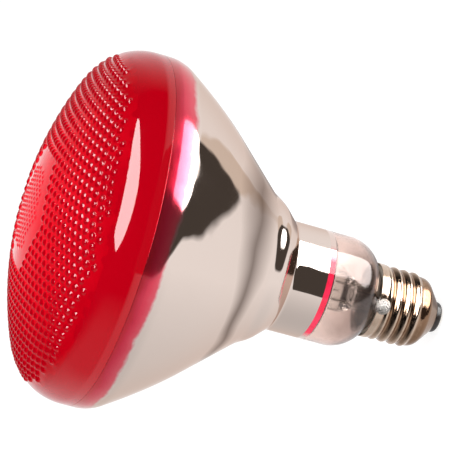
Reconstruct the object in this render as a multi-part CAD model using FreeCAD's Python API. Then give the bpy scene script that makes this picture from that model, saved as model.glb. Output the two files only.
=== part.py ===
import FreeCAD, Part
import math
import os

os.makedirs("parts", exist_ok=True)
V = FreeCAD.Vector

# Infrared heat lamp with a screw cap. Its axis is Z, its contact stands at z = 0 and its lens is up.
# Sizes are in mm and angles in degrees.

# Screw cap: rolled sheet shell, glass insulator, contact plate, solder and cement
cap_length = 27.0
cap_sheet = 0.3
thread_crest_radius = 13.15
thread_depth = 0.85
thread_pitch = 3.629
thread_fade_turns = 0.6
thread_start_angle = 152.0
collar_height = 1.8
shell_end_radius = 5.8
shell_taper = 50.0
shell_corner = 4.0
insulator_drop = 1.9
insulator_rounding = 1.5
insulator_lean = 10.0
insulator_fill = 3.6
contact_radius = 3.4
contact_plate = 0.4
contact_rounding = 0.2
eyelet_wall = 0.35
eyelet_length = 1.8
solder_height = 0.7
solder_radius = 2.2
solder_flat_radius = 0.9
side_solder_radius = 2.6
side_solder_bulge = 1.25
side_solder_angle = -5.0
side_solder_drop = 1.7
cement_height = 6.0
cement_recess = 0.6
thread_clearance = 0.05

# Glass bowl and neck, one piece
seat_gap = 0.75
seat_lift = 0.7
shoulder_radius = 13.0
seal_fillet = 3.0
seal_depth = 9.5
neck_radius = 19.3
neck_wall = 1.2
neck_length = 20.64
throat_fillet = 2.0
throat_angle = 43.0
throat_run = 5.1
throat_bulge = 14.0
waist_angle = 28.5
waist_run = 2.0
waist_fillet = 14.0
bowl_start_radius = 42.0
bowl_focal_length = 18.4
bowl_wall = 3.0
mouth_step = 2.0
rim_band = 2.6

# Pressed lens
lens_radius = 61.0
lens_wall = 3.3
lens_face_radius = 120.0
lens_edge_radius = 19.75
lens_rim_height = 2.0
seam_rounding = 0.4

# Stem: flare, tube, press and exhaust tube, one piece of fused glass
flare_lip = 1.2
flare_bend = 1.5
flare_sweep = 3.0
flare_angle = 60.0
stem_radius = 5.0
stem_wall = 0.8
stem_tube_length = 9.0
press_blend = 4.0
press_height = 5.0
press_half_width = 7.0
press_half_thickness = 2.4
exhaust_radius = 2.0
exhaust_wall = 0.6
exhaust_length = 17.0

# Leads, heat shield, support and filament
lead_radius = 0.35
lead_offset = 3.0
lead_bend = 1.0
lead_dip = 1.6
lead_straight = 5.0
lead_reach = 8.0
lead_stub = 3.0
shield_gap = 4.2
shield_thickness = 0.4
shield_clearance = 0.4
hole_clearance = 0.1
support_radius = 0.3
support_root = 3.0
support_hook_angle = 285.0
filament_half_span = 12.5
filament_wire_radius = 0.2
filament_pitch = 0.9
coil_clearance = 0.05


def sine(degrees):
    return math.sin(math.radians(degrees))


def cosine(degrees):
    return math.cos(math.radians(degrees))


# Cap heights and radii that follow
thread_root_radius = thread_crest_radius - thread_depth
thread_inner_radius = thread_root_radius - cap_sheet
thread_fill_radius = thread_inner_radius - thread_clearance
collar_inner_radius = thread_crest_radius - cap_sheet
contact_top = solder_height + contact_plate
shell_bottom = contact_top + insulator_drop
taper_rise = thread_root_radius - shell_end_radius - shell_corner * (1 - cosine(shell_taper))
taper_length = taper_rise / sine(shell_taper)
thread_bottom = shell_bottom + taper_length * cosine(shell_taper) + shell_corner * sine(shell_taper)
thread_top = cap_length - collar_height
insulator_top = shell_bottom + insulator_fill

# Glass heights and radii that follow
seat_radius = collar_inner_radius - seat_gap
shoulder_turn = math.degrees(math.acos(1 - (neck_radius - seat_radius) / shoulder_radius))
seal_radius = seat_radius - seal_fillet * (1 - cosine(shoulder_turn))
seal_bore = seal_radius - neck_wall
seal_top = cap_length + seat_lift - seal_fillet * sine(shoulder_turn)
seal_bottom = cap_length - seal_depth
bowl_rate = 4 * bowl_focal_length
bowl_heading = math.degrees(math.atan(bowl_rate / (2 * bowl_start_radius)))

# Stem heights that follow
flare_run = (seal_bore - stem_radius) / sine(flare_angle)
flare_run -= (flare_bend + flare_sweep) * (1 - cosine(flare_angle)) / sine(flare_angle)
flare_height = flare_lip + (flare_bend + flare_sweep) * sine(flare_angle) + flare_run * cosine(flare_angle)
stem_tube_top = seal_bottom + flare_height + stem_tube_length
press_top = stem_tube_top + press_blend + press_height
shield_bottom = press_top + shield_gap
shield_top = shield_bottom + shield_thickness

# Coil and its support
coil_radius = lead_radius + coil_clearance + filament_wire_radius
hook_radius = coil_radius + filament_wire_radius + coil_clearance + support_radius


class Outline:
    """Half section of runs and tangent arcs, by radius and height. Heading 0 is up and 90 is outward."""

    def __init__(self, radius, height, heading=0.0):
        self.radius = radius
        self.height = height
        self.heading = heading
        self.edges = []

    def here(self):
        return V(self.radius, 0, self.height)

    def line_to(self, radius, height):
        start = self.here()
        self.radius = radius
        self.height = height
        self.edges.append(Part.LineSegment(start, self.here()).toShape())

    def run(self, length):
        self.line_to(self.radius + length * sine(self.heading), self.height + length * cosine(self.heading))

    def turn(self, bend, heading):
        """Tangent arc of radius bend that ends in the new heading."""
        side = bend if heading > self.heading else -bend
        start = self.here()
        centre = start + V(side * cosine(self.heading), 0, -side * sine(self.heading))
        middle_heading = (self.heading + heading) / 2
        middle = centre + V(-side * cosine(middle_heading), 0, side * sine(middle_heading))
        self.radius = centre.x - side * cosine(heading)
        self.height = centre.z + side * sine(heading)
        self.heading = heading
        self.edges.append(Part.Arc(start, middle, self.here()).toShape())

    def parabola_to(self, radius):
        """Follow height = vertex + radius^2 / bowl_rate, which is a curve with three poles."""
        start = self.here()
        vertex = self.height - self.radius ** 2 / bowl_rate
        pole = V((self.radius + radius) / 2, 0, vertex + self.radius * radius / bowl_rate)
        self.radius = radius
        self.height = vertex + radius ** 2 / bowl_rate
        self.heading = math.degrees(math.atan(bowl_rate / (2 * radius)))
        curve = Part.BezierCurve()
        curve.setPoles([start, pole, self.here()])
        self.edges.append(curve.toShape())


def line(start, end):
    return Part.LineSegment(start, end).toShape()


def revolved(edges):
    """Turn a closed half section round the Z axis."""
    wire = Part.Wire(Part.__sortEdges__(edges))
    return Part.Face(wire).revolve(V(0, 0, 0), V(0, 0, 1), 360)


def between(outer, inner):
    """Solid of revolution between two outlines that start and end side by side."""
    outer_start = outer.edges[0].valueAt(outer.edges[0].FirstParameter)
    inner_start = inner.edges[0].valueAt(inner.edges[0].FirstParameter)
    ends = []
    for a, b in ((outer_start, inner_start), (outer.here(), inner.here())):
        if a.distanceToPoint(b) > Part.Precision.confusion():
            ends.append(line(a, b))
    return revolved(outer.edges + inner.edges + ends)


def tube(bore, radius, bottom, top):
    solid = Part.makeCylinder(radius, top - bottom, V(0, 0, bottom))
    return solid.cut(Part.makeCylinder(bore, top - bottom, V(0, 0, bottom)))


def rod(points, radius):
    """Round wire along straight runs that are joined by tangent arcs."""
    edges = []
    here = points[0]
    for before, corner, after in zip(points, points[1:], points[2:]):
        arriving = (corner - before).normalize()
        leaving = (after - corner).normalize()
        half_turn = arriving.getAngle(leaving) / 2
        setback = lead_bend * math.tan(half_turn)
        arc_start = corner - arriving * setback
        arc_end = corner + leaving * setback
        middle = corner + (leaving - arriving).normalize() * (lead_bend / math.cos(half_turn) - lead_bend)
        edges.append(line(here, arc_start))
        edges.append(Part.Arc(arc_start, middle, arc_end).toShape())
        here = arc_end
    edges.append(line(here, points[-1]))
    section = Part.Wire(Part.Circle(points[0], points[1] - points[0], radius).toShape())
    return Part.Wire(edges).makePipeShell([section], True, False)


def smooth_step(share):
    share = min(max(share, 0.0), 1.0)
    return share * share * (3 - 2 * share)


def thread_levels(inset):
    """Rolled thread: every level is a circle whose middle is carried round the axis once a pitch.

    At the bottom its crest sinks to the root, and at the top its groove rises to the collar.
    """
    levels_per_turn = 8
    height = thread_top - thread_bottom
    fade = thread_fade_turns * thread_pitch
    steps = round(levels_per_turn * height / thread_pitch)
    levels = []
    for step in range(steps + 1):
        rise = height * step / steps
        fade_in = smooth_step(rise / fade)
        fade_out = smooth_step((height - rise) / fade)
        offset = thread_depth / 2 * fade_in * fade_out
        radius = thread_root_radius + thread_depth / 2 * (fade_in + 1 - fade_out) - inset
        angle = thread_start_angle + 360 * rise / thread_pitch
        middle = V(offset * cosine(angle), offset * sine(angle), thread_bottom + rise)
        levels.append(Part.Wire(Part.Circle(middle, V(0, 0, 1), radius).toShape()))
    return levels


def make_thread():
    """Wall between two lofts through the levels, closed by a ring at each end."""
    outside = thread_levels(0)
    inside = thread_levels(cap_sheet)
    faces = Part.makeLoft(outside, False, False).Faces + Part.makeLoft(inside, False, False).Faces
    for end in (0, -1):
        faces.append(Part.makeFace([outside[end], inside[end]], "Part::FaceMakerBullseye"))
    wall = Part.makeShell(faces)
    wall.sewShape()
    return Part.makeSolid(wall)


def shell_end_outline(inset):
    """Taper from the shell's open end, and the corner that leads into the thread."""
    start_radius = shell_end_radius - inset * cosine(shell_taper)
    outline = Outline(start_radius, shell_bottom + inset * sine(shell_taper), shell_taper)
    outline.run(taper_length)
    outline.turn(shell_corner - inset, 0)
    return outline


def make_screw_shell():
    threaded = make_thread()
    collar = tube(collar_inner_radius, thread_crest_radius, thread_top, cap_length)
    end = between(shell_end_outline(0), shell_end_outline(cap_sheet))
    return threaded.fuse([collar, end]).removeSplitter()


def make_insulator():
    """Rounded end with a pocket for the contact plate, and a body that fills the shell's taper."""
    bore = lead_radius + hole_clearance + eyelet_wall
    lip_radius = shell_end_radius - cap_sheet * cosine(shell_taper)
    lip_height = shell_bottom + cap_sheet * sine(shell_taper)
    rounding_top = solder_height + insulator_rounding * (1 - sine(insulator_lean))
    side_reach = (lip_height - rounding_top) * math.tan(math.radians(insulator_lean))
    outer = Outline(contact_radius, contact_top)
    outer.line_to(contact_radius, solder_height)
    outer.line_to(lip_radius - side_reach - insulator_rounding * cosine(insulator_lean), solder_height)
    outer.heading = 90
    outer.turn(insulator_rounding, insulator_lean)
    outer.line_to(lip_radius, lip_height)
    outer.heading = shell_taper
    outer.run((insulator_top - lip_height) / cosine(shell_taper))
    inner = Outline(bore, contact_top)
    inner.line_to(bore, insulator_top)
    return between(outer, inner)


def make_centre_contact():
    """Plate with a rounded rim and an eyelet in the insulator's bore."""
    bore = lead_radius + hole_clearance
    outer = Outline(bore, solder_height, 90)
    outer.line_to(contact_radius - contact_rounding, solder_height)
    outer.turn(contact_rounding, 0)
    outer.line_to(contact_radius, contact_top)
    outer.line_to(bore + eyelet_wall, contact_top)
    outer.line_to(bore + eyelet_wall, contact_top + eyelet_length)
    inner = Outline(bore, solder_height)
    inner.line_to(bore, contact_top + eyelet_length)
    return between(outer, inner)


def make_contact_solder():
    """Button with a flat worn end and a domed side."""
    flat_edge = V(solder_flat_radius, 0, 0)
    foot = V(solder_radius, 0, solder_height)
    bulge = V((solder_flat_radius + 2 * solder_radius) / 3, 0, solder_height / 3)
    tip = V(0, 0, 0)
    top = V(0, 0, solder_height)
    side = Part.Arc(flat_edge, bulge, foot).toShape()
    return revolved([side, line(foot, top), line(top, tip), line(tip, flat_edge)])


def neck_outline(inset):
    """Seal, shoulder, neck, bulging throat and waist, from the sealed end up."""
    outline = Outline(seal_radius - inset, seal_bottom)
    outline.line_to(seal_radius - inset, seal_top)
    outline.turn(seal_fillet + inset, shoulder_turn)
    outline.turn(shoulder_radius - inset, 0)
    outline.run(neck_length)
    outline.turn(throat_fillet + inset, throat_angle)
    outline.run(throat_run)
    outline.turn(throat_bulge - inset, waist_angle)
    outline.run(waist_run)
    outline.turn(waist_fillet + inset, bowl_heading)
    return outline


def reflector_outlines():
    """Outer and inner outline, and the height of the inner parabola's focus."""
    outer = neck_outline(0)
    outer.run((bowl_start_radius - outer.radius) / sine(bowl_heading))
    bowl_start = outer.height
    outer.parabola_to(lens_radius - mouth_step)
    outer.turn(mouth_step / (1 - cosine(outer.heading)), 0)
    outer.run(rim_band - seam_rounding)
    outer.turn(seam_rounding, -90)
    inner = neck_outline(neck_wall)
    inner.line_to(bowl_start_radius, bowl_start + bowl_wall / sine(bowl_heading))
    focus = inner.height - bowl_start_radius ** 2 / bowl_rate + bowl_focal_length
    inner.parabola_to(lens_radius - lens_wall)
    inner.line_to(lens_radius - lens_wall, outer.height)
    return outer, inner, focus


def make_front_lens(seam_height):
    """Domed face and rounded edge of even wall, on a rim that meets the bowl's rim."""
    edge_height = seam_height + lens_rim_height
    edge_centre = lens_radius - lens_edge_radius
    face_drop = math.sqrt((lens_face_radius - lens_edge_radius) ** 2 - edge_centre ** 2)
    edge_turn = -math.degrees(math.atan2(face_drop, edge_centre))
    outer = Outline(lens_radius - seam_rounding, seam_height, 90)
    outer.turn(seam_rounding, 0)
    outer.line_to(lens_radius, edge_height)
    outer.turn(lens_edge_radius, edge_turn)
    outer.turn(lens_face_radius, -90)
    inner = Outline(lens_radius - lens_wall, seam_height)
    inner.line_to(lens_radius - lens_wall, edge_height)
    inner.turn(lens_edge_radius - lens_wall, edge_turn)
    inner.turn(lens_face_radius - lens_wall, -90)
    return between(outer, inner)


def flare_outline(inset):
    outline = Outline(seal_bore - inset, seal_bottom)
    outline.run(flare_lip)
    outline.turn(flare_bend - inset, -flare_angle)
    outline.run(flare_run)
    outline.turn(flare_sweep + inset, 0)
    outline.run(stem_tube_length)
    return outline


def make_stem(wires):
    """Flared tube that is pressed flat at its top, with the exhaust tube inside it."""
    flared_tube = between(flare_outline(0), flare_outline(stem_wall))
    blend_top = stem_tube_top + press_blend
    round_end = Part.Wire(Part.Circle(V(0, 0, stem_tube_top), V(0, 0, 1), stem_radius).toShape())
    round_end.rotate(V(0, 0, 0), V(0, 0, 1), 90)
    wide_point = V(0, press_half_width, blend_top)
    thin_point = V(-press_half_thickness, 0, blend_top)
    flat_end = Part.Wire(Part.Ellipse(wide_point, thin_point, V(0, 0, blend_top)).toShape())
    blend = Part.makeLoft([round_end, flat_end], True, True)
    press = Part.Face(flat_end).extrude(V(0, 0, press_height))
    exhaust_bottom = stem_tube_top - exhaust_length
    exhaust = tube(exhaust_radius - exhaust_wall, exhaust_radius, exhaust_bottom, stem_tube_top)
    tip = Part.makeSphere(exhaust_radius, V(0, 0, exhaust_bottom), V(0, 0, 1), -90, 0, 360)
    return flared_tube.fuse([blend, press, exhaust, tip]).removeSplitter().cut(wires)


def upper_lead(side, focus):
    """Points of a lead from its stub in the coil down to the straight stretch through the press."""
    return [
        V(0, side * (filament_half_span - lead_stub), focus),
        V(0, side * filament_half_span, focus),
        V(0, side * filament_half_span, focus - lead_reach),
        V(0, side * lead_offset, shield_top + lead_straight),
    ]


def make_lead_centre(focus):
    """Goes on round the exhaust tip and down the axis to the solder button."""
    turn_height = insulator_top + lead_dip
    return rod(upper_lead(1, focus) + [
        V(0, lead_offset, turn_height + lead_offset),
        V(0, 0, turn_height),
        V(0, 0, solder_height),
    ], lead_radius)


def make_lead_side(focus):
    """Goes on under the neck's sealed end, up beside it and out over the cap's rim."""
    way_out = V(cosine(side_solder_angle), sine(side_solder_angle), 0)
    up = V(0, 0, 1)
    channel_radius = (seal_radius + thread_inner_radius) / 2
    gap_radius = (seat_radius + collar_inner_radius) / 2
    gap_height = cap_length + seat_lift / 2
    slope = seat_gap / seat_lift
    turn_height = gap_height - (gap_radius - channel_radius) * slope
    reach = lead_radius / math.hypot(1, slope)
    under = seal_bottom - lead_dip
    return rod(upper_lead(-1, focus) + [
        V(0, -lead_offset, under),
        way_out * channel_radius + up * under,
        way_out * channel_radius + up * turn_height,
        way_out * (gap_radius + reach) + up * (gap_height + reach * slope),
    ], lead_radius)


def make_support(focus):
    """Straight wire from the press, hooked round the middle of the coil."""
    def on_hook(angle):
        return V(hook_radius * cosine(angle), 0, focus + hook_radius * sine(angle))

    foot = V(hook_radius, 0, press_top - support_root)
    hook = Part.Arc(on_hook(0), on_hook(support_hook_angle / 2), on_hook(support_hook_angle))
    path = Part.Wire([line(foot, on_hook(0)), hook.toShape()])
    section = Part.Wire(Part.Circle(foot, V(0, 0, 1), support_radius).toShape())
    return path.makePipeShell([section], True, False)


def make_heat_shield(seats):
    """Thin disc across the neck. Each wire passes it in a hole of its own."""
    base = V(0, 0, shield_bottom)
    disc = Part.makeCylinder(neck_radius - neck_wall - shield_clearance, shield_thickness, base)
    holes = []
    for place, radius in seats:
        holes.append(Part.makeCylinder(radius + hole_clearance, shield_thickness, place + base))
    return disc.cut(holes)


def make_filament(focus):
    """Coil along Y that is slipped over the stubs of both leads."""
    length = 2 * (filament_half_span - lead_bend - lead_radius)
    helix = Part.makeHelix(filament_pitch, length, coil_radius)
    start_direction = V(0, coil_radius, filament_pitch / (2 * math.pi))
    section = Part.Wire(Part.Circle(V(coil_radius, 0, 0), start_direction, filament_wire_radius).toShape())
    coil = Part.Wire(helix).makePipeShell([section], True, True)
    coil.translate(V(0, 0, -length / 2))
    coil.rotate(V(0, 0, 0), V(1, 0, 0), 90)
    coil.translate(V(0, 0, focus))
    return coil


def make_neck_core():
    """Neck and throat as if filled to the axis, to mould other pieces against."""
    neck = neck_outline(0)
    axis_top = V(0, 0, neck.height)
    axis_bottom = V(0, 0, seal_bottom)
    end = line(V(seal_radius, 0, seal_bottom), axis_bottom)
    return revolved(neck.edges + [line(neck.here(), axis_top), line(axis_top, axis_bottom), end])


def make_side_solder(neck_core, lead):
    """Domed blob over the collar, the rim and the lead's end."""
    ball_radius = (side_solder_radius ** 2 + side_solder_bulge ** 2) / (2 * side_solder_bulge)
    ball_place = thread_crest_radius + side_solder_bulge - ball_radius
    ball = Part.makeSphere(ball_radius, V(ball_place, 0, cap_length - side_solder_drop))
    ball.rotate(V(0, 0, 0), V(0, 0, 1), side_solder_angle)
    collar = Part.makeCylinder(thread_crest_radius, cap_length)
    thread_room = Part.makeCylinder(thread_crest_radius + thread_clearance, thread_top)
    return ball.cut(collar).cut(thread_room).cut(neck_core).cut(lead)


def make_basing_cement(neck_core, lead):
    """Ring between the cap and the sealed end of the neck, moulded round the side lead."""
    bottom = thread_top - cement_height
    lower = Part.makeCylinder(thread_fill_radius, cement_height, V(0, 0, bottom))
    upper = Part.makeCylinder(collar_inner_radius, collar_height - cement_recess, V(0, 0, thread_top))
    return lower.fuse(upper).cut([neck_core, lead])


outer, inner, focus = reflector_outlines()
seam_height = outer.height
neck_core = make_neck_core()
lead_centre = make_lead_centre(focus)
lead_side = make_lead_side(focus)
support = make_support(focus)
wire_seats = [
    (V(0, lead_offset, 0), lead_radius),
    (V(0, -lead_offset, 0), lead_radius),
    (V(hook_radius, 0, 0), support_radius),
]

pieces = {
    "front_lens": make_front_lens(seam_height),
    "reflector": between(outer, inner),
    "screw_shell": make_screw_shell(),
    "insulator": make_insulator(),
    "centre_contact": make_centre_contact(),
    "contact_solder": make_contact_solder(),
    "side_solder": make_side_solder(neck_core, lead_side),
    "basing_cement": make_basing_cement(neck_core, lead_side),
    "stem": make_stem([lead_centre, lead_side, support]),
    "heat_shield": make_heat_shield(wire_seats),
    "lead_centre": lead_centre,
    "lead_side": lead_side,
    "filament_support": support,
    "filament": make_filament(focus),
}
for name, shape in pieces.items():
    shape.exportStep("parts/" + name + ".step")
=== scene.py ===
import math

import bmesh
import bpy
from mathutils import Matrix, Vector
from mathutils.geometry import delaunay_2d_cdt
from mathutils.kdtree import KDTree


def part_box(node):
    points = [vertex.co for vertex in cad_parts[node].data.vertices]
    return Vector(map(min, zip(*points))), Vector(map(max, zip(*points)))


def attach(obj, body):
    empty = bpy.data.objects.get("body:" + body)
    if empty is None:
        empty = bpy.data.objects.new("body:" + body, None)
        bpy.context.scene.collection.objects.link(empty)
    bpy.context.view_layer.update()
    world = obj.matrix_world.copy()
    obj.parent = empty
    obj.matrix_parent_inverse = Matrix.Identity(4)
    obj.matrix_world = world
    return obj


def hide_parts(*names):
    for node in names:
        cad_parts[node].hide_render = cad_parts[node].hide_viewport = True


# Infrared heat lamp: a red beaded lens on a mirrored bowl, with a screw cap.
# The lamp stands on its contact with its lens up, and Z is its axis.
# Named lengths are in mm and named angles in degrees. Meshes and nodes take lengths in metres.

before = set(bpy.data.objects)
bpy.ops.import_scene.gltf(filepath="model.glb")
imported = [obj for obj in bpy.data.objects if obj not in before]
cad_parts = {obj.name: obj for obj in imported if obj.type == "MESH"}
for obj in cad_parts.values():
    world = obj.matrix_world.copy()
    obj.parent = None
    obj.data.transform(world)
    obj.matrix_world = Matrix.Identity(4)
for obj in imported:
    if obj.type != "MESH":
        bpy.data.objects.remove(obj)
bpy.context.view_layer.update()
MM = 0.001

# Camera, where the photograph was taken from: on the +X side, and rolled so that +Y is up in the picture
AIM_HEIGHT = 70.0
CAMERA_DISTANCE = 800.3
CAMERA_TILT = 74.04
CAMERA_ROLL = 74.69
AIM_PIXEL = (252.8, 267.6)
PHOTO_WIDTH = 450.0
FOCAL_PIXELS = 2340.0
SENSOR_WIDTH = 36.0

# Lens
LENS_RADIUS = 61.0
LENS_WALL = 3.3
FACE_RADIUS = 120.0
EDGE_RADIUS = 19.75
RIM_HEIGHT = 2.0
SEAM_ROUNDING = 0.1

# Large beads, close-packed in a round field with a hexagonal hole
BEAD_RADIUS = 1.2
BEAD_FILLET = 0.3
BEAD_SLOPE = 58.0
BEAD_PITCH = 3.53
BEAD_TURN = -13.5
BEAD_CORNER = 60.0
BEAD_FIELD_START = 19.5
BEAD_REACH = 60.2

# Small beads, in a hexagon in the middle of the hole
SMALL_BEAD_RADIUS = 0.66
SMALL_BEAD_FILLET = 0.24
SMALL_BEAD_SLOPE = 38.0
SMALL_BEAD_PITCH = 2.37
SMALL_BEAD_TURN = 39.3
SMALL_BEAD_CORNER = 101.4
SMALL_FIELD_REACH = 13.6

# Beaded field, a little below the smooth margin of the lens
FIELD_MARGIN = 1.3
FIELD_EDGE = BEAD_REACH + BEAD_RADIUS + BEAD_FILLET + FIELD_MARGIN
FIELD_RECESS = 0.6
RECESS_EDGE = 5.5

# Neck, from the cap up to the throat
SHEET = 0.3
CAP_RADIUS = 13.15
SEAT_GAP = 0.75
SEAT_LIFT = 0.7
SHOULDER_RADIUS = 13.0
SEAL_FILLET = 3.0
NECK_RADIUS = 19.3
NECK_WALL = 1.2
NECK_LENGTH = 20.64
SLIT_HEIGHT = 2.4
SLIT_LIFT = 0.5

# Bowl, from the throat up to the rim
THROAT_FILLET = 2.0
THROAT_ANGLE = 43.0
THROAT_RUN = 5.1
THROAT_BULGE = 14.0
WAIST_ANGLE = 28.5
WAIST_RUN = 2.0
WAIST_FILLET = 14.0
BOWL_START_RADIUS = 42.0
BOWL_FOCAL_LENGTH = 18.4
BOWL_RATE = 4 * BOWL_FOCAL_LENGTH
BOWL_HEADING = math.degrees(math.atan(BOWL_RATE / (2 * BOWL_START_RADIUS)))
BOWL_WALL = 3.0
MOUTH_STEP = 2.0
RIM_BAND = 2.6

# Places of the finishes: radii, heights on a bead, depths below the seam, heights, and places along Y
# Radii and bead heights over which the lens colour is painted darker, as painted shade
LENS_SHADE_RADII = (15.0, 58.0)
BEAD_SHADE_HEIGHTS = (0.05, 0.4)
LACQUER_DEPTH = 12.0
LACQUER_MATT = (4.0, 9.0)
LACQUER_COAT = (6.0, 10.0)
LACQUER_END = (6.5, 8.5)
LACQUER_SIDES = (-40.0, 15.0)
# Height, reach and sides of a painted reflection: a dark ring on the mirror at the throat
PAINTED_RING_HEIGHT = 80.5
PAINTED_RING_REACH = (4.0, 10.0)
PAINTED_RING_SIDES = (-20.0, 20.0)
BROWN_BAND_HEIGHT = (30.0, 37.0)
SLIT_SHUT_ABOVE = (0.45 * NECK_RADIUS, 0.75 * NECK_RADIUS)
SLIT_SHUT_BELOW = (-0.95 * NECK_RADIUS, -0.85 * NECK_RADIUS)
# Radii over which the thread is painted darker into its groove, as painted shade with a little grime
THREAD_SHADE_RADII = (12.2, 13.2)

# Finishes
GLASS_IOR = 1.5
POLISH = 0.03
NOISE_MIDDLE = (0.3, 0.7)
# Darkest share of the painted reflection ring
PAINTED_RING_SHARE = 0.85
BROWN_BAND_SHARE = 0.85

# Fineness of the meshes
SEGMENTS = 180
ARC_STEP = 2.0
LEAST_ARC_STEPS = 4
LENS_EDGE_STEPS = 24
NECK_STEPS = 40
THROAT_STEPS = 4
FLANK_STEPS = 12
PARABOLA_STEPS = 48
BAND_STEPS = 2
FILL_PITCH = 1.5
FILL_TURN = 7.0
ON_AXIS = 1e-6
SAME_PLACE = 1e-5
WELD_DISTANCE = 1e-4
SHARP_ANGLE = 30.0

# Rings of points on a bead: how far out, by ball (0 to 1) and fillet (1 to 2), and how many points
BEAD_RINGS = ((0.4, 6), (0.75, 12), (1.0, 16), (1.5, 16), (2.0, 16))
SMALL_BEAD_RINGS = ((0.5, 6), (1.0, 12), (1.5, 12), (2.0, 12))

# Studio
FLOOR_REACH = 4000.0
CARD_REACH = 1500.0
CARD_ROUNDING = (0.08, 0.04, 0.02)
LARGEST_CUT = 0.25
LEAST_MITRE = 0.4
LIGHT_DISTANCE = 900.0
KEY_DIRECTION = (0.679, 0.486, 0.6)
KEY_SIZE = (1350.0, 300.0)
KEY_POWER = 8.0
FILL_DIRECTION = (0.35, -0.85, 0.4)
FILL_SIZE = (800.0, 800.0)
FILL_POWER = 5.0

# World, by the direction looked in: bands along X for the far side, along Y for the low and the shaded
# side, and along Z for the horizon and the tops of the sides, and how much light they give or take
HORIZON = (-0.26, -0.16)
FAR_SIDE = (-1.0, -0.2)
FAR_SIDE_TOP = (0.05, 0.6)
FAR_SIDE_GLOW = 0.95
LOW_SIDE = (-0.9, -0.6)
LOW_SIDE_TOP = (0.35, 0.6)
LOW_SIDE_GLOW = 0.3
SHADED_SIDE = (-1.0, -0.15)
SIDE_SHADE = 0.4
DIFFUSE_LOSS = 0.25


def box_mm(node):
    low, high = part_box(node)
    return low / MM, high / MM


def sine(degrees):
    return math.sin(math.radians(degrees))


def cosine(degrees):
    return math.cos(math.radians(degrees))


def directions(count):
    """Flat directions, evenly round a circle."""
    angles = [360 * step / count for step in range(count)]
    return [Vector((cosine(angle), sine(angle))) for angle in angles]


def facing(way):
    """Turn that brings the Z axis to a direction."""
    return way.to_track_quat("Z", "Y").to_matrix().to_4x4()


def add_object(name, data):
    item = bpy.data.objects.new(name, data)
    bpy.context.scene.collection.objects.link(item)
    return item


def mesh_data(name, mesh, materials):
    data = bpy.data.meshes.new(name)
    mesh.to_mesh(data)
    mesh.free()
    for material in materials:
        data.materials.append(material)
    return data


# Camera
def make_camera():
    data = bpy.data.cameras.new("camera")
    data.sensor_width = SENSOR_WIDTH
    data.lens = SENSOR_WIDTH * FOCAL_PIXELS / PHOTO_WIDTH
    camera = add_object("camera", data)
    away = Vector((sine(CAMERA_TILT), 0, cosine(CAMERA_TILT)))
    place = Vector((0, 0, AIM_HEIGHT)) + away * CAMERA_DISTANCE
    aim_right = math.atan2(AIM_PIXEL[0] - PHOTO_WIDTH / 2, FOCAL_PIXELS)
    aim_down = math.atan2(AIM_PIXEL[1] - PHOTO_WIDTH / 2, FOCAL_PIXELS)
    turned = facing(away) @ Matrix.Rotation(math.radians(-CAMERA_ROLL), 4, "Z")
    turned = turned @ Matrix.Rotation(aim_right, 4, "Y") @ Matrix.Rotation(aim_down, 4, "X")
    camera.matrix_world = Matrix.Translation(place * MM) @ turned
    bpy.context.scene.camera = camera


# Outlines and meshes
class Outline:
    """Half section of runs and tangent arcs, by radius and height. Heading 0 is up and 90 is outward."""

    def __init__(self, radius, height, heading=0.0):
        self.radius = radius
        self.height = height
        self.heading = heading
        self.points = [(radius, height)]

    def line_to(self, radius, height, steps=1):
        start = Vector((self.radius, self.height))
        end = Vector((radius, height))
        for step in range(1, steps + 1):
            self.points.append(tuple(start.lerp(end, step / steps)))
        self.radius = radius
        self.height = height

    def run(self, length, steps):
        radius = self.radius + length * sine(self.heading)
        self.line_to(radius, self.height + length * cosine(self.heading), steps)

    def turn(self, bend, heading):
        side = bend if heading > self.heading else -bend
        centre = self.radius + side * cosine(self.heading)
        level = self.height - side * sine(self.heading)
        steps = max(LEAST_ARC_STEPS, math.ceil(abs(heading - self.heading) / ARC_STEP))
        start = self.heading
        for step in range(1, steps + 1):
            angle = start + (heading - start) * step / steps
            self.points.append((centre - side * cosine(angle), level + side * sine(angle)))
        self.radius, self.height = self.points[-1]
        self.heading = heading

    def parabola_to(self, radius, rate):
        start = self.radius
        vertex = self.height - start ** 2 / rate
        for step in range(1, PARABOLA_STEPS + 1):
            here = start + (radius - start) * step / PARABOLA_STEPS
            self.points.append((here, vertex + here ** 2 / rate))
        self.radius, self.height = self.points[-1]
        self.heading = math.degrees(math.atan(rate / (2 * radius)))


def add_lathe(mesh, outline):
    """Turn a half section round the axis. Returns the faces of each step along it."""
    rings = []
    for radius, height in outline:
        if radius < ON_AXIS:
            rings.append([mesh.verts.new((0, 0, height * MM))])
            continue
        ring = []
        for segment in range(SEGMENTS):
            angle = 360 * segment / SEGMENTS
            place = Vector((radius * cosine(angle), radius * sine(angle), height))
            ring.append(mesh.verts.new(place * MM))
        rings.append(ring)
    steps = []
    for before, after in zip(rings, rings[1:]):
        faces = []
        for segment in range(SEGMENTS):
            follow = (segment + 1) % SEGMENTS
            corners = [before[segment % len(before)], before[follow % len(before)]]
            corners += [after[follow % len(after)], after[segment % len(after)]]
            faces.append(mesh.faces.new(dict.fromkeys(corners)))
        steps.append(faces)
    return steps


def finish_piece(name, mesh, materials, node):
    """Close, orient and smooth a mesh, and put it in the place of a node of the frame."""
    bmesh.ops.remove_doubles(mesh, verts=mesh.verts, dist=WELD_DISTANCE * MM)
    bmesh.ops.recalc_face_normals(mesh, faces=mesh.faces)
    data = mesh_data(name, mesh, materials)
    data.shade_smooth()
    data.set_sharp_from_angle(angle=math.radians(SHARP_ANGLE))
    piece = add_object(name, data)
    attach(piece, "root")
    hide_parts(node)


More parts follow.
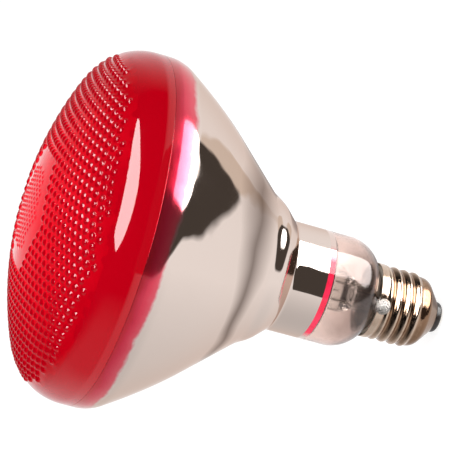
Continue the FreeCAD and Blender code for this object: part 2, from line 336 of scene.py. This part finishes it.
# Shader nodes
def set_values(node, values):
    """Set or link a node's sockets by name or number."""
    for socket, value in values.items():
        if isinstance(value, bpy.types.NodeSocket):
            node.id_data.links.new(value, node.inputs[socket])
        else:
            node.inputs[socket].default_value = value


def add_node(material, kind, values, **settings):
    node = material.node_tree.nodes.new(kind)
    for name, value in settings.items():
        setattr(node, name, value)
    set_values(node, values)
    return node


def principled(material):
    return material.node_tree.nodes["Principled BSDF"]


def new_material(name, values):
    """Material with a Principled shader, and plain values for its sockets."""
    material = bpy.data.materials.new(name)
    material.use_nodes = True
    set_values(principled(material), values)
    return material


def place_of(material):
    return add_node(material, "ShaderNodeTexCoord", {}).outputs["Object"]


def noise(material, scale, detail, roughness=0.5):
    values = {"Vector": place_of(material), "Scale": scale, "Detail": detail, "Roughness": roughness}
    return add_node(material, "ShaderNodeTexNoise", values).outputs["Fac"]


def spread(material, value, results, limits=NOISE_MIDDLE):
    """Map a value between two limits, which suit a noise if none are given, to the range of the results."""
    values = {
        "Value": value, "From Min": limits[0], "From Max": limits[1],
        "To Min": results[0], "To Max": results[1],
    }
    return add_node(material, "ShaderNodeMapRange", values).outputs["Result"]


def calculate(material, operation, first, second=0.0):
    return add_node(material, "ShaderNodeMath", {0: first, 1: second}, operation=operation).outputs[0]


def place_along(material, axis):
    """Place along an axis of the lamp, in mm."""
    parts = add_node(material, "ShaderNodeSeparateXYZ", {0: place_of(material)})
    return calculate(material, "DIVIDE", parts.outputs[axis], MM)


def radius_of(material):
    """Distance from the axis, in mm."""
    values = {0: place_of(material), 1: (1, 1, 0)}
    flat = add_node(material, "ShaderNodeVectorMath", values, operation="MULTIPLY")
    length = add_node(material, "ShaderNodeVectorMath", {0: flat.outputs[0]}, operation="LENGTH")
    return calculate(material, "DIVIDE", length.outputs["Value"], MM)


def colours(material, share, stops):
    """Colour ramp over a share from 0 to 1."""
    ramp = add_node(material, "ShaderNodeValToRGB", {"Fac": share})
    elements = ramp.color_ramp.elements
    while len(elements) < len(stops):
        elements.new(0.5)
    for element, (position, colour) in zip(elements, stops):
        element.position = position
        element.color = (*colour, 1)
    return ramp.outputs["Color"]


def blend(material, share, colour, other):
    """Colour that goes over to another, plain one as a share goes from 0 to 1."""
    values = {"Fac": share, "Color1": colour, "Color2": (*other, 1)}
    return add_node(material, "ShaderNodeMixRGB", values).outputs[0]


def bump(material, value, depth):
    values = {"Height": value, "Distance": depth * MM}
    return add_node(material, "ShaderNodeBump", values).outputs["Normal"]


# Materials
def red_glass():
    """Ruby glass with a polished skin, painted darker on its beads and towards its rim as painted shade, and
    lighter on the flats and in the middle as painted light.
    """
    material = new_material("red_glass", {
        "IOR": GLASS_IOR, "Transmission Weight": 0.1, "Specular IOR Level": 0.0,
        "Coat Weight": 1.0, "Coat Roughness": POLISH, "Coat IOR": GLASS_IOR,
    })
    uneven = spread(material, noise(material, scale=35, detail=3), (-4, 4))
    radius = calculate(material, "ADD", radius_of(material), uneven)
    rim_shade = spread(material, radius, (0, 0.7), LENS_SHADE_RADII)
    bead_rise = add_node(material, "ShaderNodeVertexColor", {}, layer_name="bead_rise").outputs["Color"]
    bead_shade = spread(material, bead_rise, (0, 0.6), BEAD_SHADE_HEIGHTS)
    # Painted shade and light: darker stops for the beads and the rim, lighter ones for the flats and the
    # middle
    lighter_stops = [(0.0, (0.85, 0.014, 0.03)), (0.45, (0.64, 0.003, 0.012))]
    shaded_stops = [(0.7, (0.38, 0.0, 0.005)), (1.0, (0.34, 0.0, 0.005))]
    share = calculate(material, "ADD", rim_shade, bead_shade)
    set_values(principled(material), {
        "Base Color": colours(material, share, lighter_stops + shaded_stops),
        "Roughness": spread(material, noise(material, scale=220, detail=3), (0.04, 0.1)),
        "Normal": bump(material, noise(material, scale=90, detail=2), depth=0.02),
    })
    return material


def lacquer_spray(material, seam, side):
    """Depth below the seam, in mm, with the lacquer's ragged edge. It counts for more low in the picture."""
    ragged = spread(material, noise(material, scale=90, detail=6, roughness=0.65), (-0.9, 0.9))
    depth = calculate(material, "SUBTRACT", seam, place_along(material, "Z"))
    rate = spread(material, side, (1.5, 1.0), LACQUER_SIDES)
    return calculate(material, "MULTIPLY", calculate(material, "ADD", depth, ragged), rate)


def painted_ring_share(material, side):
    """How much of the painted reflection lies on the mirror: a dark wavy ring in place of the mirrored inner
    edge of the bowl, darkest inside and wider high in the picture.
    """
    wavy = spread(material, noise(material, scale=25, detail=2), (-3, 3))
    height = calculate(material, "ADD", place_along(material, "Z"), wavy)
    rise = calculate(material, "SUBTRACT", height, PAINTED_RING_HEIGHT)
    reach = spread(material, side, PAINTED_RING_REACH, PAINTED_RING_SIDES)
    away = calculate(material, "DIVIDE", calculate(material, "ABSOLUTE", rise), reach)
    return spread(material, away, (PAINTED_RING_SHARE, 0), (0, 1))


def mirror_glass(seam):
    """Mirror under clear glass, with red lacquer over its rim and a painted reflection over the throat: a
    dark ring in place of the mirrored inner edge of the bowl.
    """
    material = new_material("mirror_glass", {
        "Specular Tint": (0.8, 0.7, 0.65, 1), "Coat Roughness": POLISH, "Coat IOR": GLASS_IOR,
    })
    side = place_along(material, "Y")
    spray = lacquer_spray(material, seam, side)
    red = [(0.07, (0.61, 0.014, 0.034)), (0.2, (0.67, 0.02, 0.06)), (0.4, (0.716, 0.048, 0.09))]
    fading = [(0.58, (0.74, 0.09, 0.13)), (0.66, (0.76, 0.42, 0.42)), (0.72, (0.78, 0.66, 0.6))]
    lacquer = colours(material, spread(material, spray, (0, 1), (0, LACQUER_DEPTH)), red + fading)
    gloss = spread(material, noise(material, scale=60, detail=5), (0.02, 0.08))
    set_values(principled(material), {
        # Painted reflection: a dark ring blended into the mirror's colour over the throat
        "Base Color": blend(material, painted_ring_share(material, side), lacquer, (0.15, 0.11, 0.095)),
        "Roughness": calculate(material, "ADD", gloss, spread(material, spray, (0.1, 0), LACQUER_MATT)),
        "Metallic": spread(material, spray, (0.9, 1), LACQUER_END),
        "Coat Weight": spread(material, spray, (0.6, 0), LACQUER_COAT),
        "Normal": bump(material, noise(material, scale=50, detail=2), depth=0.25),
    })
    return material


def half_mirror():
    """Thin film that mirrors a little light, lets the stem show and is darker brown just above the cap."""
    material = new_material("half_mirror", {
        "Metallic": 0.07, "Transmission Weight": 1.0, "IOR": GLASS_IOR,
    })
    tint = spread(material, noise(material, scale=70, detail=3), (0, 1))
    film = colours(material, tint, [(0, (0.76, 0.54, 0.48)), (1, (0.84, 0.64, 0.58))])
    uneven = spread(material, noise(material, scale=90, detail=3), (-2, 2))
    height = calculate(material, "ADD", place_along(material, "Z"), uneven)
    brown_band = spread(material, height, (BROWN_BAND_SHARE, 0), BROWN_BAND_HEIGHT)
    set_values(principled(material), {
        "Base Color": blend(material, brown_band, film, (0.16, 0.09, 0.07)),
        "Roughness": spread(material, noise(material, scale=120, detail=4), (0.08, 0.2)),
        "Normal": bump(material, noise(material, scale=40, detail=2), depth=0.8),
    })
    return material


def clear_glass(name, colour):
    material = new_material(name, {"Transmission Weight": 1.0, "IOR": GLASS_IOR})
    tint = spread(material, noise(material, scale=80, detail=2), (0, 1))
    paler = tuple(0.9 * part + 0.1 for part in colour)
    set_values(principled(material), {
        "Base Color": colours(material, tint, [(0, colour), (1, paler)]),
        "Roughness": spread(material, noise(material, scale=150, detail=3), (0.0, 0.04)),
        "Normal": bump(material, noise(material, scale=60, detail=2), depth=0.1),
    })
    return material


def slit_glass():
    """Clear ring in the mirror, painted red as a painted glow of the red light inside the bowl, and mirrored
    over at its sides.
    """
    material = new_material("slit_glass", {"Transmission Weight": 0.3, "IOR": GLASS_IOR})
    side = place_along(material, "Y")
    above = spread(material, side, (0, 1), SLIT_SHUT_ABOVE)
    below = spread(material, side, (1, 0), SLIT_SHUT_BELOW)
    shut = calculate(material, "ADD", above, below)
    tint = spread(material, noise(material, scale=120, detail=3), (0, 1))
    # Painted glow: the red light from inside the bowl, painted into the ring's colour
    glow = colours(material, tint, [(0, (0.8, 0.01, 0.05)), (1, (0.9, 0.05, 0.13))])
    set_values(principled(material), {
        "Base Color": blend(material, shut, glow, (0.8, 0.64, 0.58)),
        "Metallic": shut,
        "Roughness": spread(material, noise(material, scale=150, detail=3), (0.02, 0.1)),
        "Normal": bump(material, noise(material, scale=60, detail=2), depth=0.1),
    })
    return material


def metal(name, dark, light, roughness, grain, depth=0.03):
    """Bare metal with a mottled tone, uneven gloss and fine scratches."""
    material = new_material(name, {"Metallic": 1.0})
    tone = spread(material, noise(material, scale=grain, detail=6, roughness=0.6), (0, 1))
    set_values(principled(material), {
        "Base Color": colours(material, tone, [(0, dark), (1, light)]),
        "Roughness": spread(material, noise(material, scale=grain * 2, detail=5), roughness),
        "Normal": bump(material, noise(material, scale=grain * 6, detail=4), depth),
    })
    return material


def cap_nickel():
    """Rolled nickel sheet, painted dark brown down in the groove of its thread: painted shade, over a little
    grime.
    """
    material = new_material("cap_nickel", {"Metallic": 1.0})
    uneven = spread(material, noise(material, scale=300, detail=5, roughness=0.6), (-0.2, 0.2))
    radius = calculate(material, "ADD", radius_of(material), uneven)
    groove = [(0.0, (0.26, 0.15, 0.09)), (0.4, (0.42, 0.27, 0.18))]
    crest = [(0.75, (0.56, 0.4, 0.3)), (1.0, (0.66, 0.51, 0.4))]
    share = spread(material, radius, (0, 1), THREAD_SHADE_RADII)
    set_values(principled(material), {
        "Base Color": colours(material, share, groove + crest),
        "Roughness": spread(material, noise(material, scale=500, detail=5), (0.1, 0.24)),
        "Normal": bump(material, noise(material, scale=900, detail=4), depth=0.03),
    })
    return material


def mineral(name, dark, light, roughness, depth):
    """Cement, or glass that lets no light through."""
    material = new_material(name, {})
    tone = spread(material, noise(material, scale=260, detail=6, roughness=0.6), (0, 1))
    set_values(principled(material), {
        "Base Color": colours(material, tone, [(0, dark), (1, light)]),
        "Roughness": spread(material, noise(material, scale=340, detail=4), roughness),
        "Normal": bump(material, noise(material, scale=700, detail=5), depth),
    })
    return material


def dress_frame():
    """Finish of the nodes that are shown as they are."""
    solder = metal("solder", (0.36, 0.33, 0.31), (0.66, 0.63, 0.6), (0.18, 0.4), grain=300, depth=0.6)
    lead = metal("lead_nickel", (0.5, 0.48, 0.45), (0.72, 0.7, 0.66), (0.2, 0.4), grain=400)
    brass = metal("brass", (0.6, 0.4, 0.14), (0.82, 0.62, 0.28), (0.2, 0.42), grain=400)
    aluminium = metal("aluminium", (0.68, 0.68, 0.68), (0.86, 0.86, 0.85), (0.2, 0.38), grain=300)
    tungsten = metal("tungsten", (0.12, 0.12, 0.13), (0.26, 0.26, 0.27), (0.35, 0.55), grain=600)
    black_glass = mineral(
        "black_glass", (0.012, 0.008, 0.006), (0.024, 0.017, 0.014), (0.2, 0.4), depth=0.05)
    cement = mineral("cement", (0.42, 0.36, 0.28), (0.62, 0.56, 0.47), (0.75, 0.95), depth=0.2)
    finishes = {
        "screw_shell": cap_nickel(),
        "insulator": black_glass,
        "centre_contact": brass,
        "contact_solder": solder,
        "side_solder": solder,
        "basing_cement": cement,
        "stem": clear_glass("stem_glass", (0.85, 0.9, 0.88)),
        "heat_shield": aluminium,
        "lead_centre": lead,
        "lead_side": lead,
        "filament_support": lead,
        "filament": tungsten,
    }
    for node, material in finishes.items():
        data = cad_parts[node].data
        data.materials.clear()
        data.materials.append(material)


# Lens
class LensSkin:
    """Outer skin of the lens by the distance along it from its middle: a domed face, then a rounded edge."""

    def __init__(self, seam):
        self.edge_level = seam + RIM_HEIGHT
        self.edge_centre = LENS_RADIUS - EDGE_RADIUS
        self.meeting = math.asin(self.edge_centre / (FACE_RADIUS - EDGE_RADIUS))
        self.face_centre = self.edge_level - (FACE_RADIUS - EDGE_RADIUS) * math.cos(self.meeting)
        self.face_length = FACE_RADIUS * self.meeting
        self.length = self.face_length + EDGE_RADIUS * (math.pi / 2 - self.meeting)

    def point(self, distance, inset=0.0):
        """Radius and height, and the direction outward from the skin."""
        if distance <= self.face_length:
            slope = distance / FACE_RADIUS
            centre, level, reach = 0.0, self.face_centre, FACE_RADIUS - inset
        else:
            slope = self.meeting + (distance - self.face_length) / EDGE_RADIUS
            centre, level, reach = self.edge_centre, self.edge_level, EDGE_RADIUS - inset
        out = (math.sin(slope), math.cos(slope))
        return (centre + reach * out[0], level + reach * out[1]), out


def lattice(pitch, turn, reach, corner):
    """Places in rows on the flattened face, out to a reach. The corner lies between a row and a file."""
    row_pitch = pitch * sine(corner)
    count = math.ceil(reach / row_pitch)
    places = []
    for row in range(-count, count + 1):
        for column in range(-2 * count, 2 * count + 1):
            spot = Vector((column * pitch + row * pitch * cosine(corner), row * row_pitch))
            if spot.length <= reach:
                places.append(Matrix.Rotation(math.radians(turn), 2) @ spot)
    return places


def hexagon_reach(spot):
    """Distance from the middle to the side of the hexagon through a spot. Its sides run along the rows."""
    angles = [BEAD_TURN + 90 + 60 * side for side in range(6)]
    return max(spot.dot(Vector((cosine(angle), sine(angle)))) for angle in angles)


def bead_points(site, radius, fillet, slope, rings):
    """Points of a ball-shaped bead with a fillet round its foot, each with its height above the face."""
    ball = radius / sine(slope)
    foot = fillet / sine(slope)
    foot_height = foot * (1 - cosine(slope))
    points = [(site, ball * (1 - cosine(slope)) + foot_height)]
    for share, count in rings:
        if share <= 1:
            reach = radius * share
            lift = math.sqrt(ball ** 2 - reach ** 2) - ball * cosine(slope) + foot_height
        else:
            left = fillet * (2 - share)
            reach = radius + fillet - left
            lift = foot - math.sqrt(foot ** 2 - left ** 2)
        points += [(site + way * reach, lift) for way in directions(count)]
    return points


def between_beads(large_sites, small_sites):
    """Places that fill the field between the feet of the beads."""
    nearest = KDTree(len(large_sites) + len(small_sites))
    for index, site in enumerate(large_sites + small_sites):
        nearest.insert(site.to_3d(), index)
    nearest.balance()
    large_foot = BEAD_RADIUS + BEAD_FILLET
    small_foot = SMALL_BEAD_RADIUS + SMALL_BEAD_FILLET
    places = []
    for spot in lattice(FILL_PITCH, FILL_TURN, FIELD_EDGE - FILL_PITCH / 2, BEAD_CORNER):
        _, index, gap = nearest.find(spot.to_3d())
        foot = large_foot if index < len(large_sites) else small_foot
        if gap > foot + FILL_PITCH / 3:
            places.append(spot)
    return places


def field_points():
    """Points of the beaded field, flattened, inside a ring that the smooth margin joins."""
    large_sites = lattice(BEAD_PITCH, BEAD_TURN, BEAD_REACH, BEAD_CORNER)
    large_sites = [spot for spot in large_sites if hexagon_reach(spot) >= BEAD_FIELD_START]
    small_sites = lattice(SMALL_BEAD_PITCH, SMALL_BEAD_TURN, BEAD_REACH, SMALL_BEAD_CORNER)
    small_sites = [spot for spot in small_sites if hexagon_reach(spot) <= SMALL_FIELD_REACH]
    points = []
    for site in large_sites:
        points += bead_points(site, BEAD_RADIUS, BEAD_FILLET, BEAD_SLOPE, BEAD_RINGS)
    for site in small_sites:
        points += bead_points(site, SMALL_BEAD_RADIUS, SMALL_BEAD_FILLET, SMALL_BEAD_SLOPE, SMALL_BEAD_RINGS)
    points += [(spot, 0.0) for spot in between_beads(large_sites, small_sites)]
    points += [(way * FIELD_EDGE, 0.0) for way in directions(SEGMENTS)]
    return points


def recess(inside):
    """Depth of the beaded field below the smooth margin, by the distance inside its edge."""
    share = min(max(inside / RECESS_EDGE, 0.0), 1.0)
    return FIELD_RECESS * share * share * (3 - 2 * share)


def add_beaded_field(mesh, skin):
    """Bend the flattened field over the skin. Each corner keeps its height on its bead, which the lens
    colour uses for its painted shade.
    """
    points = field_points()
    spots = [spot for spot, _ in points]
    flat, _, triangles, sources, _, _ = delaunay_2d_cdt(spots, [], [], 0, SAME_PLACE)
    bead_rise = mesh.verts.layers.float_color.new("bead_rise")
    verts = []
    for spot, source in zip(flat, sources):
        rise = points[source[0]][1]
        lift = rise - recess(FIELD_EDGE - spot.length)
        (radius, height), out = skin.point(spot.length)
        way = spot.normalized() if spot.length else spot
        radius += lift * out[0]
        vert = mesh.verts.new((way.x * radius * MM, way.y * radius * MM, (height + lift * out[1]) * MM))
        vert[bead_rise] = (rise, rise, rise, 1)
        verts.append(vert)
    for triangle in triangles:
        mesh.faces.new([verts[corner] for corner in triangle])


def lens_section(skin, seam):
    """Half section of the rest of the lens: from the field over the rim, and inside back to the axis."""
    steps = LENS_EDGE_STEPS
    margin = skin.length - FIELD_EDGE
    rim = [skin.point(FIELD_EDGE + margin * step / steps)[0] for step in range(steps + 1)]
    foot = Outline(LENS_RADIUS, skin.edge_level, 180)
    foot.line_to(LENS_RADIUS, seam + SEAM_ROUNDING, BAND_STEPS)
    foot.turn(SEAM_ROUNDING, 270)
    foot.line_to(LENS_RADIUS - LENS_WALL, seam)
    foot.line_to(LENS_RADIUS - LENS_WALL, skin.edge_level, BAND_STEPS)
    inside = [skin.point(skin.length * (1 - step / steps), LENS_WALL)[0] for step in range(1, steps)]
    middle = skin.point(0, LENS_WALL)[0]
    return rim + foot.points[1:] + inside + [middle]


def make_lens(seam):
    skin = LensSkin(seam)
    mesh = bmesh.new()
    add_beaded_field(mesh, skin)
    add_lathe(mesh, lens_section(skin, seam))
    finish_piece("beaded_lens", mesh, [red_glass()], "front_lens")


# Bowl and neck
def neck_outline(inset, seal_bottom, cap_length):
    """Seal, shoulder, neck, bulging throat and waist, from the sealed end up."""
    seat_radius = CAP_RADIUS - SHEET - SEAT_GAP
    shoulder_turn = math.degrees(math.acos(1 - (NECK_RADIUS - seat_radius) / SHOULDER_RADIUS))
    seal_radius = seat_radius - SEAL_FILLET * (1 - cosine(shoulder_turn))
    seal_top = cap_length + SEAT_LIFT - SEAL_FILLET * sine(shoulder_turn)
    outline = Outline(seal_radius - inset, seal_bottom)
    outline.line_to(seal_radius - inset, seal_top)
    outline.turn(SEAL_FILLET + inset, shoulder_turn)
    outline.turn(SHOULDER_RADIUS - inset, 0)
    outline.run(NECK_LENGTH, NECK_STEPS)
    outline.turn(THROAT_FILLET + inset, THROAT_ANGLE)
    outline.run(THROAT_RUN, THROAT_STEPS)
    outline.turn(THROAT_BULGE - inset, WAIST_ANGLE)
    outline.run(WAIST_RUN, THROAT_STEPS)
    outline.turn(WAIST_FILLET + inset, BOWL_HEADING)
    return outline


def bowl_outlines(seal_bottom, cap_length):
    """Outside and inside of the bowl and neck, each from the sealed end up to the rim."""
    outer = neck_outline(0, seal_bottom, cap_length)
    outer.run((BOWL_START_RADIUS - outer.radius) / sine(BOWL_HEADING), FLANK_STEPS)
    bowl_start = outer.height
    outer.parabola_to(LENS_RADIUS - MOUTH_STEP, BOWL_RATE)
    outer.turn(MOUTH_STEP / (1 - cosine(outer.heading)), 0)
    outer.run(RIM_BAND - SEAM_ROUNDING, BAND_STEPS)
    outer.turn(SEAM_ROUNDING, -90)
    inner = neck_outline(NECK_WALL, seal_bottom, cap_length)
    inner.line_to(BOWL_START_RADIUS, bowl_start + BOWL_WALL / sine(BOWL_HEADING), FLANK_STEPS)
    inner.parabola_to(LENS_RADIUS - LENS_WALL, BOWL_RATE)
    inner.line_to(LENS_RADIUS - LENS_WALL, outer.height)
    return outer.points, inner.points


def make_bowl(seam):
    seal_bottom = box_mm("reflector")[0].z
    cap_length = box_mm("screw_shell")[1].z
    slit_bottom = box_mm("heat_shield")[1].z + SLIT_LIFT
    outer, inner = bowl_outlines(seal_bottom, cap_length)
    outline = outer + inner[::-1] + outer[:1]
    mesh = bmesh.new()
    mirror, film, slit, plain = range(4)
    for index, faces in enumerate(add_lathe(mesh, outline)):
        level = (outline[index][1] + outline[index + 1][1]) / 2
        outside = index < len(outer) - 1
        if slit_bottom < level < slit_bottom + SLIT_HEIGHT:
            kind = slit
        elif level < slit_bottom:
            kind = film if outside else plain
        else:
            kind = mirror
        for face in faces:
            face.material_index = kind
    neck_glass = clear_glass("neck_glass", (0.95, 0.93, 0.9))
    materials = [mirror_glass(seam), half_mirror(), slit_glass(), neck_glass]
    finish_piece("mirrored_bowl", mesh, materials, "reflector")


# Stage
def stage_sheet(name, mesh, material):
    sheet = add_object(name, mesh_data(name, mesh, [material]))
    return sheet


def make_floor():
    """White floor that takes a soft shadow. Reflections look past it at the studio cards."""
    material = new_material("floor", {
        "Base Color": (0.42, 0.418, 0.415, 1), "Roughness": 1.0, "Specular IOR Level": 0.0,
        "Emission Color": (1, 1, 1, 1), "Emission Strength": 0.7,
    })
    mesh = bmesh.new()
    bmesh.ops.create_grid(mesh, size=FLOOR_REACH * MM)
    floor = stage_sheet("floor", mesh, material)
    floor.visible_glossy = False


def with_neighbours(corners):
    """Each corner of a closed outline, between the one before it and the one after it."""
    return zip(corners[-1:] + corners[:-1], corners, corners[1:] + corners[:1])


def outward(corners):
    """Direction outward at each corner of an outline that runs anticlockwise, longer at sharp corners."""
    ways = []
    for before, here, after in with_neighbours(corners):
        arriving = (here - before).normalized()
        leaving = (after - here).normalized()
        middle = (arriving + leaving).normalized()
        side = Vector((middle.y, -middle.x))
        ways.append(side / max(LEAST_MITRE, side.dot(Vector((leaving.y, -leaving.x)))))
    return ways


def rounded(corners, cut):
    """Outline with each corner cut back by a distance, or by a share of a short side."""
    result = []
    for before, here, after in with_neighbours(corners):
        for other in (before, after):
            way = other - here
            result.append(here + way * min(LARGEST_CUT, cut / way.length))
    return result


def card_glow(name, colour):
    """Light of a card, which fades out where its cover does."""
    material = bpy.data.materials.new(name)
    material.use_nodes = True
    nodes = material.node_tree.nodes
    nodes.remove(nodes["Principled BSDF"])
    glow = add_node(material, "ShaderNodeEmission", {"Color": (*colour, 1)})
    clear = add_node(material, "ShaderNodeBsdfTransparent", {})
    cover = add_node(material, "ShaderNodeVertexColor", {}, layer_name="cover")
    shown = {0: cover.outputs["Color"], 1: clear.outputs[0], 2: glow.outputs[0]}
    mix = add_node(material, "ShaderNodeMixShader", shown)
    set_values(nodes["Material Output"], {"Surface": mix.outputs[0]})
    return material


def make_card(name, colour, level, feather, outline):
    """Studio card far below or above the lamp, that fades out at its edge and shows only as a reflection.

    Its corners, its level and its feather are written per unit of CARD_REACH.
    """
    corners = [Vector(corner) for corner in outline]
    for cut in CARD_ROUNDING:
        corners = rounded(corners, cut)
    mesh = bmesh.new()
    shade = mesh.verts.layers.float_color.new("cover")
    rings = []
    for reach, share in ((0.0, 1.0), (feather, 0.0)):
        ring = []
        for corner, way in zip(corners, outward(corners)):
            spot = corner + way * reach
            vert = mesh.verts.new(Vector((spot.x, spot.y, level)) * CARD_REACH * MM)
            vert[shade] = (share, share, share, 1)
            ring.append(vert)
        rings.append(ring)
    inner, outer = rings
    mesh.faces.new(inner)
    for index in range(len(inner)):
        mesh.faces.new([inner[index - 1], outer[index - 1], outer[index], inner[index]])
    bmesh.ops.triangulate(mesh, faces=mesh.faces)
    card = stage_sheet(name, mesh, card_glow(name, colour))
    card.visible_camera = False
    card.visible_diffuse = False
    card.visible_transmission = False
    card.visible_shadow = False


def make_cards():
    # Painted shadow: a grey card that reflections show behind the lamp, in place of the lamp's own shadow on
    # the floor
    make_card("shadow_card", (0.45, 0.42, 0.42), -0.999, 0.1, [
        (-0.66, 0.3), (-1.23, 0.48), (-2.8, 0.42), (-5.0, 0.4), (-5.0, -0.3), (-3.0, -0.2), (-1.4, 0.0),
        (-0.8, 0.2),
    ])
    make_card("tan_card", (0.78, 0.7, 0.62), -0.998, 0.04, [
        (-0.28, 0.8), (-0.63, 0.8), (-0.69, 0.68), (-0.74, 0.6), (-0.73, 0.554), (-0.57, 0.519),
        (-0.333, 0.471),
    ])
    make_card("dark_card", (0.07, 0.06, 0.052), -0.996, 0.05, [
        (-0.333, 0.471), (-0.22, 0.433), (-0.02, 0.337), (0.11, 0.216), (0.19, 0.11), (0.45, 0.055),
        (0.93, -0.12), (1.44, -0.47), (3.25, -1.3), (9.0, -3.6), (9.0, 3.5), (4.5, 4.5), (1.96, 3.9),
        (1.6, 2.0), (0.4, 0.9), (-0.28, 0.8), (-0.342, 0.696), (-0.317, 0.634), (-0.35, 0.566),
    ])
    make_card("white_card", (8.0, 8.0, 8.0), -0.994, 0.07, [
        (-0.2, 0.84), (0.0, 0.63), (0.311, 0.46), (0.787, 0.45), (2.73, 1.6), (3.1, 2.0), (2.4, 2.8),
        (1.5, 3.4), (0.65, 3.65), (0.31, 3.28), (0.04, 1.93), (-0.2, 0.95),
    ])
    make_card("window_card", (12.0, 12.0, 12.0), 1.0, 0.02, [
        (1.35, -0.36), (1.82, -0.05), (2.05, 0.44), (1.94, 1.06), (1.47, 1.36), (0.91, 1.48), (0.16, 1.64),
        (0.13, 1.13), (0.35, 0.87), (0.55, 0.6), (0.73, 0.34), (0.78, 0.05),
    ])


def make_light(name, direction, size, power):
    """Area light that no reflection shows, where the window card stands in for it."""
    way = Vector(direction).normalized()
    data = bpy.data.lights.new(name, "AREA")
    data.shape = "RECTANGLE"
    data.size = size[0] * MM
    data.size_y = size[1] * MM
    data.energy = power
    light = add_object(name, data)
    place = Vector((0, 0, AIM_HEIGHT)) + way * LIGHT_DISTANCE
    light.matrix_world = Matrix.Translation(place * MM) @ facing(way)
    light.visible_glossy = False


def make_world():
    """White to the camera. In reflections it is dark above the horizon, but for two glowing sides."""
    world = bpy.data.worlds.new("world")
    world.use_nodes = True
    bpy.context.scene.world = world
    path = add_node(world, "ShaderNodeLightPath", {}).outputs
    seen = add_node(world, "ShaderNodeTexCoord", {}).outputs["Generated"]
    way = add_node(world, "ShaderNodeSeparateXYZ", {0: seen}).outputs
    far_side = spread(world, way["X"], (FAR_SIDE_GLOW, 0), FAR_SIDE)
    far_side = calculate(world, "MULTIPLY", far_side, spread(world, way["Z"], (1, 0), FAR_SIDE_TOP))
    low_side = spread(world, way["Y"], (LOW_SIDE_GLOW, 0), LOW_SIDE)
    low_side = calculate(world, "MULTIPLY", low_side, spread(world, way["Z"], (1, 0), LOW_SIDE_TOP))
    dark = calculate(world, "SUBTRACT", 1.0, calculate(world, "ADD", far_side, low_side))
    ceiling = calculate(world, "MULTIPLY", dark, spread(world, way["Z"], (0, 1), HORIZON))
    shaded = calculate(world, "MAXIMUM", ceiling, spread(world, way["Y"], (SIDE_SHADE, 0), SHADED_SIDE))
    mirrored = calculate(world, "MULTIPLY", shaded, path["Is Glossy Ray"])
    dimmed = calculate(world, "MULTIPLY", path["Is Diffuse Ray"], DIFFUSE_LOSS)
    strength = calculate(world, "SUBTRACT", 1.0, calculate(world, "ADD", mirrored, dimmed))
    background = world.node_tree.nodes["Background"]
    set_values(background, {"Color": (1, 1, 1, 1), "Strength": strength})


seam_height = box_mm("front_lens")[0].z
make_camera()
make_lens(seam_height)
make_bowl(seam_height)
dress_frame()
make_floor()
make_cards()
make_light("key_light", KEY_DIRECTION, KEY_SIZE, KEY_POWER)
make_light("fill_light", FILL_DIRECTION, FILL_SIZE, FILL_POWER)
make_world()
bpy.context.scene.view_settings.view_transform = "Standard"
